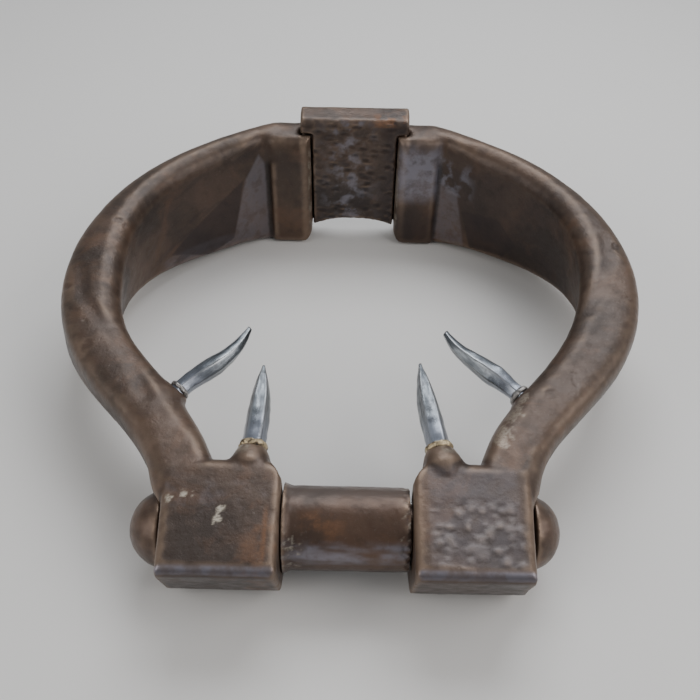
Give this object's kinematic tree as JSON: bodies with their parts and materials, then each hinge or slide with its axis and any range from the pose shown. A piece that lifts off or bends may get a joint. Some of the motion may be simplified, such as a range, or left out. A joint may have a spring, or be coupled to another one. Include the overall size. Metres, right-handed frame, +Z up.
{
  "type": "ox yoke neck collar",
  "caption": "Forged iron neck collar with a riveted front hinge bar, a lift-out back keeper between end cuffs, and inward spikes on both arms.",
  "frame": {"origin": "centre of the bounding box in plan, on the surface that the collar stands on", "axes": "+Z up, +Y towards the back keeper, +X along the front hinge bar towards the burr"},
  "size_m": [0.3332, 0.3256, 0.0943],
  "materials": {
    "forged_iron": "brown oiled patina with worn edges and rust",
    "keeper_iron": "hammered dark iron with rust on the cap",
    "bar_iron": "smooth brown patina",
    "spike_steel": "ground bright steel",
    "seat_ring": "dull brazed ring"
  },
  "bodies": {
    "right_half": {"right_arm": "forged_iron", "right_end_cuff": "forged_iron", "right_front_spike": "spike_steel", "right_rear_spike": "spike_steel", "right_front_collar": "seat_ring", "right_rear_collar": "seat_ring"},
    "left_half": {"left_arm": "forged_iron", "left_end_cuff": "forged_iron", "left_front_spike": "spike_steel", "left_rear_spike": "spike_steel", "left_front_collar": "seat_ring", "left_rear_collar": "seat_ring", "hinge_pin": "bar_iron", "pin_burr": "bar_iron", "spacer_barrel": "bar_iron"},
    "keeper": {"back_keeper": "keeper_iron"}
  },
  "joints": [
    {"name": "front_hinge", "type": "hinge", "parent": "right_half", "child": "left_half", "pos_m": [0.00124, -0.1269, 0.0275], "axis": [1, 0, 0], "range_deg": [0, 75]},
    {"name": "keeper_lift", "type": "hinge", "parent": "left_half", "child": "keeper", "pos_m": [0.00124, -0.1269, 0.0275], "axis": [1, 0, 0], "range_deg": [0, 22]}
  ]
}
